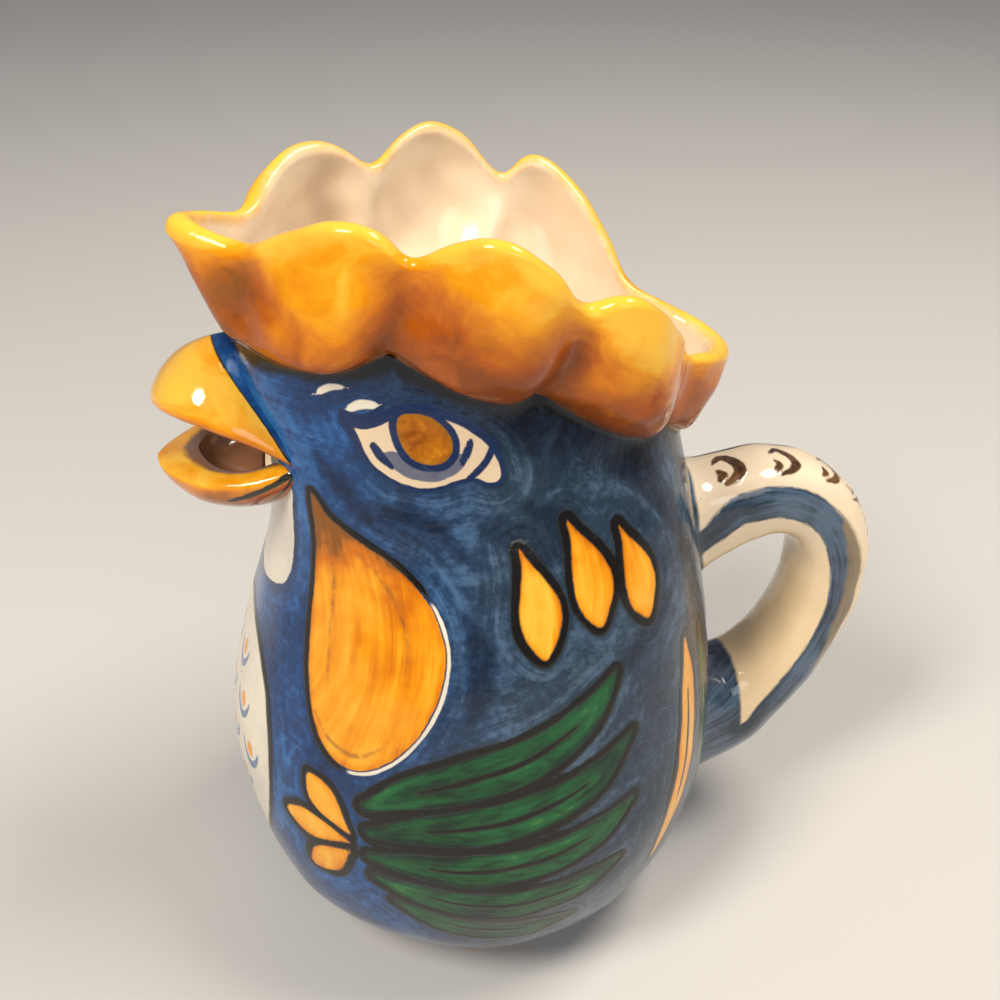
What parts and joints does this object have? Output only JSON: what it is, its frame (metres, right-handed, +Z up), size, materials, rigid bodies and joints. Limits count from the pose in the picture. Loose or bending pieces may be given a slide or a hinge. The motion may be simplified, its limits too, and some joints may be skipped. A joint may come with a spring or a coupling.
{
  "type": "rooster pitcher",
  "caption": "Small glazed ceramic pitcher shaped as a rooster: egg-shaped belly, scalloped comb round an open mouth, gaping beak spout, thick loop handle.",
  "frame": {"origin": "centre of the foot ring's resting face, on the surface the jug stands on", "axes": "+Z up; the bird faces -X, the handle is at +X, and Y = 0 is the middle plane"},
  "size_m": [0.1485, 0.1038, 0.1634],
  "materials": {
    "blue_glaze": "glossy hand-brushed glaze",
    "amber_glaze": "glossy mottled glaze",
    "white_glaze": "glossy white glaze",
    "bare_clay": "matt unglazed clay"
  },
  "bodies": {
    "root": {"body_shell": "blue_glaze", "foot_ring": "bare_clay", "comb_front": "amber_glaze", "comb_left": "amber_glaze", "comb_right": "amber_glaze", "comb_rear": "amber_glaze", "upper_beak": "amber_glaze", "lower_beak": "amber_glaze", "handle": "white_glaze"}
  },
  "joints": []
}
